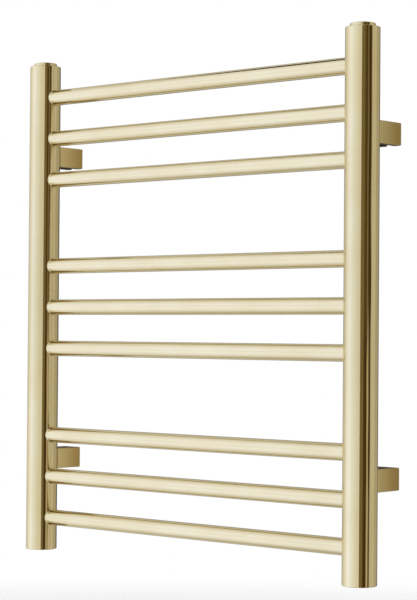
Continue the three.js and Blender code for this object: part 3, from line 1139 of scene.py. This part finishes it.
@dataclass
class Bracket:
    """One wall bracket: a gold sleeve against the upright over a peg, a wall socket and a grub screw.

    Attributes:
        side: Which upright.
        level: Which row.
        wall: Thickness of the sleeve.
        corner: Radius of its corners.
        front_edge: Width and depth of the rounding where it meets the upright.
        back_edge: Bevel at the wall.
        slot: Width and length of the slot under its wall end.
        spigot: Radius and length of the peg's thinner front end.
        bore: Radius of the socket's bore for the peg, and how far from the wall it ends.
        wall_screw: Radius of the socket's hole for the wall screw.
        grub_hole: Radius of the socket's hole for the grub screw, and its distance from the wall.
        key: Width across the flats of the grub screw's key.
    """

    side: Side
    level: Level
    wall: float = 2 * MM
    corner: float = 1.5 * MM
    front_edge: tuple[float, float] = (2.2 * MM, 0.7 * MM)
    back_edge: float = 0.4 * MM
    slot: tuple[float, float] = (10 * MM, 24 * MM)
    spigot: tuple[float, float] = (4 * MM, 3.5 * MM)
    bore: tuple[float, float] = (5.4 * MM, 4 * MM)
    wall_screw: float = 2.6 * MM
    grub_hole: tuple[float, float] = (2.65 * MM, 19 * MM)
    key: float = 2.5 * MM

    def build(self) -> list[bpy.types.Object]:
        """Makes the bracket.

        Returns:
            The dressed pieces.
        """
        return [self.sleeve(), self.peg(), self.socket(), self.grub_screw()]

    @property
    def spot(self) -> str:
        """The end of its CAD names."""
        return f"{self.level.name.lower()}_{name_of(self.side)}"

    @property
    def place(self) -> Matrix:
        """Where its axis meets the wall."""
        middle = centre_of(f"wall_socket_{self.spot}")
        return Matrix.Translation((middle.x, 0, middle.z))

    @property
    def depth(self) -> Matrix:
        """The same place, with Z along its axis."""
        return self.place @ Matrix.Rotation(-math.pi / 2, 4, "X")

    def sleeve(self) -> bpy.types.Object:
        """Makes the box sleeve, shaped to the upright in front and slotted underneath at the wall.

        Returns:
            The dressed piece.
        """
        node = f"bracket_sleeve_{self.spot}"
        low, high = box_of(node)
        width, height, back = high[0] - low[0], high[2] - low[2], high[1]
        place = self.place
        axis, _, radius = upright_axis(self.side)

        def outline(shrink: float, corner: float) -> Profile:
            """Gives the sleeve's outline, drawn in a little."""
            return rounded_rectangle(width - 2 * shrink, height - 2 * shrink, corner, 5, 16)

        def on_upright(x: float, z: float, inset: float) -> Vector:
            """Places a point of an outline just behind the upright's skin."""
            return place @ Vector((x, axis.y + math.sqrt(radius ** 2 - x ** 2) - GAP + inset, z))

        rings = []
        reach, inward = self.front_edge
        for step in (0, 0.04, 0.12, 0.25, 0.45, 0.7, 1, 1.4):
            shrink = inward * (1 - math.sqrt(1 - max(1 - step, 0) ** 2))
            rings.append([on_upright(x, z, step * reach) for x, z in outline(shrink, self.corner)])
        edge, hollow = self.back_edge, outline(self.wall, self.corner / 2)
        for inset, shrink in ((2, 0), (1, 0), (0.3, 0.3), (0, 1)):
            rings.append([place @ Vector((x, back - inset * edge, z))
                          for x, z in outline(shrink * edge, self.corner - shrink * edge)])
        rings.append([place @ Vector((x, back, z)) for x, z in hollow])
        rings.append([on_upright(x, z, 0) for x, z in hollow])
        shape = bmesh.new()
        add_loft(shape, rings, True)
        piece = mesh_object(f"gold_{node}", shape, 40)
        slot, length = self.slot
        half, end = slot / 2, slot / 2 - length
        slot_outline = [*arc((0, end), (half, half), 0, -180, 24), (-half, MM), (half, MM)]
        tool = prism("slot", slot_outline, place, -height / 2 - MM, -height / 2 + 1.5 * self.wall)
        piece = install(cut_out(piece, [tool]), GOLD_ON_BRACKET, "rack", [node])
        # The faces inside the sleeve take a dark brown that paints the shade inside it.
        piece.data.materials.append(material_of(SHADED_SLEEVE_INSIDE))
        for face in piece.data.polygons:
            away = face.center - place.translation
            inside = abs(away.x) < (width - self.wall) / 2 and abs(away.z) < height / 2 - 0.02 * MM
            face.material_index = int(inside)
        return piece

    def peg(self) -> bpy.types.Object:
        """Makes the steel peg with its spigot and bevelled tip.

        Returns:
            The dressed piece.
        """
        node = f"bracket_peg_{self.spot}"
        (_, front, _), (_, tip, _) = box_of(node)
        radius, bevel = radius_of(node), 0.8 * MM
        thin, length = self.spigot
        profile = rounded([(0, front), (thin, front), (thin, front + length), (radius, front + length),
                           (radius, tip - bevel), (radius - bevel, tip), (0, tip)], 0.2 * MM)
        piece = turned(f"steel_{node}", profile, self.depth, 64)
        return install(piece, MILLED_STEEL, "rack", [node])

    def socket(self) -> bpy.types.Object:
        """Makes the wall socket, a block bored for the peg, the wall screw and the grub screw.

        Returns:
            The dressed piece.
        """
        node = f"wall_socket_{self.spot}"
        low, high = box_of(node)
        width, height, front = high[0] - low[0], high[2] - low[2], low[1]
        block = prism(f"steel_{node}", rounded_rectangle(width, height, 0.75 * MM), self.depth, front, 0)
        bore, end = self.bore
        countersink = (bore - 0.6 * MM, self.wall_screw)
        hollow = [(0, front - MM), (bore, front - MM), (bore, -end), (countersink[0], -end),
                  (countersink[1], -end + countersink[0] - countersink[1]), (countersink[1], MM), (0, MM)]
        radius, from_wall = self.grub_hole
        hole = [(0, -height / 2 - MM), (radius, -height / 2 - MM), (radius, 0), (0, 0)]
        tools = [turned("bore", hollow, self.depth, 64),
                 turned("hole", hole, self.place @ Matrix.Translation((0, -from_wall, 0)), 48)]
        return install(cut_out(block, tools, 0.35 * MM), MILLED_STEEL, "wall_fixing", [node])

    def grub_screw(self) -> bpy.types.Object:
        """Makes the grub screw, threaded along its whole length, its key socket underneath.

        Returns:
            The dressed piece.
        """
        node = f"grub_screw_{self.spot}"
        foot, tip = heights_of(node)
        middle = centre_of(node)
        place = Matrix.Translation((middle.x, middle.y, 0))
        mean, bottom, top = radius_of(node) - FINE_THREAD[0], foot + 0.3 * MM, tip - 0.6 * MM
        parts = [turned("foot", [(0, foot), (mean - 0.3 * MM, foot), (mean, bottom)], place, 48),
                 thread(mean, *FINE_THREAD, bottom, top, place, BLACK_OXIDE, 48),
                 turned("tip", [(mean, top), (mean - 0.6 * MM, tip), (0, tip)], place, 48)]
        key = prism("key", regular_outline(self.key, 6), place, foot - MM, foot + 2 * MM)
        piece = cut_out(joined(f"steel_{node}", parts), [key])
        return install(piece, BLACK_OXIDE, node, [node])


# ---------------------------------------------------------------- studio


SWAY_DEG = 14.0  # how far the uneven edges of what is mirrored wander
# What the metal mirrors, all round: azimuth, 0 in front of the warmer and growing to its right, with the
# light that comes from there. An opening in the room on the right is dim, with a paler line in it.
PALE_SIDE: list[tuple[float, Colour]] = [
    (-180, (0.54, 0.50, 0.40)), (-112, (0.72, 0.71, 0.64)), (-92, (0.75, 0.75, 0.68)),
    (-70, (0.96, 0.97, 1.01)), (-45, (1.08, 1.16, 1.38)), (-20, (0.92, 1.00, 1.10)), (0, (0.86, 0.89, 0.88)),
    (20, (0.78, 0.77, 0.70)), (42, (0.76, 0.74, 0.67))]
OPENING: list[tuple[float, Colour]] = [
    (45, (0.19, 0.14, 0.058)), (55, (0.14, 0.10, 0.036)), (68, (0.055, 0.03, 0.004)),
    (77, (0.25, 0.19, 0.10)), (85, (0.055, 0.032, 0.004)), (100, (0.06, 0.036, 0.006))]
OPENING_BELOW_EYE_LEVEL: list[tuple[float, Colour]] = [
    (45, (0.15, 0.10, 0.035)), (55, (0.10, 0.06, 0.02)), (68, (0.05, 0.028, 0.006)),
    (76, (0.07, 0.04, 0.01)), (80, (0.55, 0.46, 0.30)), (86, (0.55, 0.46, 0.30)), (89, (0.05, 0.03, 0.005)),
    (98, (0.06, 0.036, 0.006))]
RIGHT_WALL: list[tuple[float, Colour]] = [
    (103, (0.53, 0.48, 0.36)), (128, (0.59, 0.54, 0.41)), (135, (0.68, 0.63, 0.49)),
    (142, (0.48, 0.44, 0.32)), (160, (0.47, 0.43, 0.32))]
EYE_LEVEL = (-0.03, 0.012)  # heights of direction between which the opening changes over
# Height of a direction, from -1 straight down to 1 straight up, with the share of the light that is left.
ROOM_BY_HEIGHT: list[tuple[float, float]] = [
    (-1, 0.6), (-0.8, 0.74), (-0.74, 0.82), (-0.66, 0.96), (-0.5, 0.98), (-0.29, 1.06), (-0.04, 1.0),
    (0.04, 0.97), (0.29, 1.04), (0.5, 0.98), (0.72, 0.95), (1, 0.6)]
# The same for what lies behind the warmer on the left, which is dark around eye level.
ROOM_BEHIND_BY_HEIGHT: list[tuple[float, float]] = [
    (-1, 0.6), (-0.5, 0.95), (-0.35, 0.5), (-0.14, 0.06), (0.0, 0.04), (0.15, 0.06), (0.24, 0.4), (0.34, 0.7),
    (0.62, 0.85), (1, 0.6)]
# Azimuth with how far that rule holds.
BEHIND_SECTOR: list[tuple[float, float]] = [(-180, 0.5), (-155, 1.0), (-124, 1.0), (-113, 0.0), (180, 0.0)]


@dataclass(frozen=True)
class Screen:
    """A flat screen that shows only where it is mirrored.

    Attributes:
        name: Its name.
        colour: The light that it gives.
        corners: Its corners, in order round it.
    """

    name: str
    colour: Colour
    corners: tuple[Point, ...]

    def build(self) -> None:
        """Makes the screen."""
        mesh = bpy.data.meshes.new(self.name)
        mesh.from_pydata(self.corners, [], [range(len(self.corners))])
        cloth, tree, _ = new_material(f"{self.name}_cloth")
        tree.nodes.clear()
        glow = add_node(tree, "ShaderNodeEmission", None, {"Color": (*self.colour, 1), "Strength": 1.0})
        add_node(tree, "ShaderNodeOutputMaterial", None, {"Surface": glow.outputs[0]})
        cloth.cycles.emission_sampling = "NONE"
        mesh.materials.append(cloth)
        screen = put_in_scene(self.name, mesh)
        screen.visible_camera = False
        screen.visible_diffuse = False
        screen.visible_shadow = False
        screen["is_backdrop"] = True


# The dark screen stands beside the camera and the pale one to the right of the warmer.
# The beam hangs overhead on the left.
SCREENS = (
    Screen("dark_screen", (0.20, 0.15, 0.065),
           ((1.35, -1.83, -1.5), (1.35, -1.83, 1.5), (1.95, -1.35, 1.5), (1.95, -1.35, -1.5))),
    Screen("pale_screen", (0.62, 0.57, 0.43),
           ((0.40, -0.02, -0.6), (0.40, -0.02, 0.6), (0.40, 0.12, 0.6), (0.40, 0.12, -0.6))),
    Screen("dark_beam", (0.01, 0.006, 0.001),
           ((-0.95, -0.05, 1.26), (-0.7, -0.2, 1.26), (-0.3, -0.2, 1.26), (-0.3, 0.22, 1.26),
            (-0.7, 0.22, 1.26), (-0.95, 0.05, 1.26))))


@dataclass
class Studio:
    """Camera, soft light and pale floor.

    Attributes:
        eye: Where the camera stands.
        yaw_deg: Its turn to the left from looking along +Y.
        pitch_deg: Its tilt upwards.
        roll_deg: Its roll.
        lens_mm: Its lens.
        floor_drop: How far below the warmer the floor lies.
        floor_fade: Radius up to which the floor is solid, and the radius of its rim.
    """

    eye: Point = (1.4484, -1.6712, -0.0302)
    yaw_deg: float = 41.279
    pitch_deg: float = 1.002
    roll_deg: float = 0.443
    lens_mm: float = 112.28
    floor_drop: float = 1.6
    floor_fade: tuple[float, float] = (10.2, 12.2)

    def build(self) -> None:
        """Sets up the whole studio."""
        self.add_camera()
        self.add_surroundings()
        for screen in SCREENS:
            screen.build()
        self.add_floor()
        self.add_light("key_light", (-1.6, -2.2, 2.2), 1.8, 45)
        self.add_light("rim_light", (-1.0, 2.4, 2.0), 1.6, 25)
        view = bpy.context.scene.view_settings
        view.view_transform = "Standard"
        view.look = "None"

    def add_camera(self) -> None:
        """Adds the camera, turned by its yaw, pitch and roll."""
        yaw, pitch, roll = (math.radians(a) for a in (self.yaw_deg, self.pitch_deg, self.roll_deg))
        ahead = Vector((-math.sin(yaw) * math.cos(pitch), math.cos(yaw) * math.cos(pitch), math.sin(pitch)))
        level = Vector((math.cos(yaw), math.sin(yaw), 0))
        rise = level.cross(ahead)
        right = level * math.cos(roll) + rise * math.sin(roll)
        up = rise * math.cos(roll) - level * math.sin(roll)
        data = bpy.data.cameras.new("camera")
        data.lens = self.lens_mm
        data.clip_end = 50
        camera = put_in_scene("camera", data)
        turn = Matrix((right, up, -ahead)).transposed().to_4x4()
        camera.matrix_world = Matrix.Translation(self.eye) @ turn
        bpy.context.scene.camera = camera

    def add_surroundings(self) -> None:
        """Makes the room that the metal mirrors: pale, with a dim brown opening on the right."""
        world = bpy.data.worlds.new("soft_room")
        world.use_nodes = True
        bpy.context.scene.world = world
        tree = world.node_tree
        tree.nodes.clear()
        direction = add_node(tree, "ShaderNodeTexCoord").outputs["Generated"]
        parts = add_node(tree, "ShaderNodeSeparateXYZ", None, {0: direction})
        x, y, z = (Wire(tree, socket) for socket in parts.outputs)
        streaks = add_node(tree, "ShaderNodeMapping", None, {"Vector": direction, "Scale": (3.0, 3.0, 9.0)})
        ripple = add_node(tree, "ShaderNodeTexNoise", None,
                          {"Vector": streaks.outputs[0], "Scale": 1.6, "Detail": 3.0})
        sway = (Wire(tree, ripple.outputs["Fac"]) - 0.5) * (SWAY_DEG / 360)
        turn = x.apply("ARCTAN2", y * -1.0) / (2 * math.pi) + 0.5
        around, height = turn + sway, (z + 1.0) * 0.5
        read = []
        for place, start, length, table in (
                (around, -180, 360, PALE_SIDE + OPENING + RIGHT_WALL),
                (around, -180, 360, PALE_SIDE + OPENING_BELOW_EYE_LEVEL + RIGHT_WALL),
                (turn, -180, 360, BEHIND_SECTOR),
                (height, -1, 2, ROOM_BY_HEIGHT),
                (height, -1, 2, ROOM_BEHIND_BY_HEIGHT)):
            ramp = add_node(tree, "ShaderNodeValToRGB", None, {"Fac": place.socket})
            set_ramp(ramp, [((at - start) / length, light if isinstance(light, tuple) else (light,) * 3)
                            for at, light in table])
            read.append(ramp.outputs[0])
        room_above, room_below, is_behind, by_height, by_height_behind = read
        lower, upper = EYE_LEVEL
        above = ((z - lower) / (upper - lower)).apply("MAXIMUM", 0.0).apply("MINIMUM", 1.0)
        room = add_node(tree, "ShaderNodeMix", {"data_type": "RGBA"},
                        {0: above.socket, 6: room_below, 7: room_above})
        dimming = add_node(tree, "ShaderNodeMix", {"data_type": "RGBA"},
                           {0: is_behind, 6: by_height, 7: by_height_behind})
        mirrored = add_node(tree, "ShaderNodeMix", {"data_type": "RGBA", "blend_type": "MULTIPLY"},
                            {0: 1.0, 6: room.outputs[2], 7: dimming.outputs[2]})
        rays = add_node(tree, "ShaderNodeLightPath")
        plain = add_node(tree, "ShaderNodeBackground", None, {"Color": (1, 1, 1, 1), "Strength": 1.0})
        shaped = add_node(tree, "ShaderNodeBackground", None, {"Color": mirrored.outputs[2], "Strength": 1.0})
        seen, scattered = (Wire(tree, rays.outputs[f"Is {kind} Ray"]) for kind in ("Camera", "Diffuse"))
        direct = seen.apply("MAXIMUM", scattered)
        chosen = add_node(tree, "ShaderNodeMixShader", None,
                          {0: direct.socket, 1: shaped.outputs[0], 2: plain.outputs[0]})
        add_node(tree, "ShaderNodeOutputWorld", None, {"Surface": chosen.outputs[0]})

    def add_floor(self) -> None:
        """Adds a pale round floor, well below the warmer, that fades out towards its rim."""
        low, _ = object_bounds()
        inner, rim = self.floor_fade
        shape = bmesh.new()
        bmesh.ops.create_circle(shape, cap_ends=True, segments=128, radius=rim)
        mesh = bpy.data.meshes.new("floor")
        shape.to_mesh(mesh)
        shape.free()
        mesh.transform(Matrix.Translation((0, 0, low[2] - self.floor_drop)))
        floor = put_in_scene("floor", mesh)
        floor.visible_glossy = False
        paint, tree, surface = new_material("matt_pale_floor_paint")
        surface["Base Color"].default_value = (*linear("#EAEAEA"), 1)
        surface["Roughness"].default_value = 0.9
        place = add_node(tree, "ShaderNodeTexCoord").outputs["Object"]
        parts = add_node(tree, "ShaderNodeSeparateXYZ", None, {0: place})
        x, y, _ = (Wire(tree, socket) for socket in parts.outputs)
        from_middle = (x * x + y * y).apply("SQRT")
        cover = ((rim - from_middle) / (rim - inner)).apply("MINIMUM", 1.0)
        tree.links.new((cover * cover).socket, surface["Alpha"])
        mesh.materials.append(paint)
        floor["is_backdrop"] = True

    def add_light(self, name: str, place: Point, size: float, watts: float) -> None:
        """Adds a soft area light aimed at the middle of the warmer.

        Args:
            name: Its name.
            place: Where it hangs.
            size: Side of the light.
            watts: Its power.
        """
        data = bpy.data.lights.new(name, "AREA")
        data.size = size
        data.energy = watts
        light = put_in_scene(name, data)
        light.location = place
        light.rotation_euler = (-Vector(place)).to_track_quat("-Z", "Y").to_euler()
        light.visible_glossy = False
        light.visible_camera = False


def main() -> None:
    """Builds and reports every sub-assembly, then sets up the studio."""
    logging.basicConfig(level=logging.INFO, format="%(message)s")
    assemblies = [Upright(side) for side in Side]
    assemblies.append(CrossTubes())
    for side in Side:
        assemblies += [PortBoss(side), TopFitting(side)]
    assemblies += [Bracket(side, level) for level in Level for side in Side]
    for assembly in assemblies:
        for piece in assembly.build():
            LOG.info("%s: %d faces", piece.name, len(piece.data.polygons))
    Studio().build()


if __name__ == "__main__":
    main()
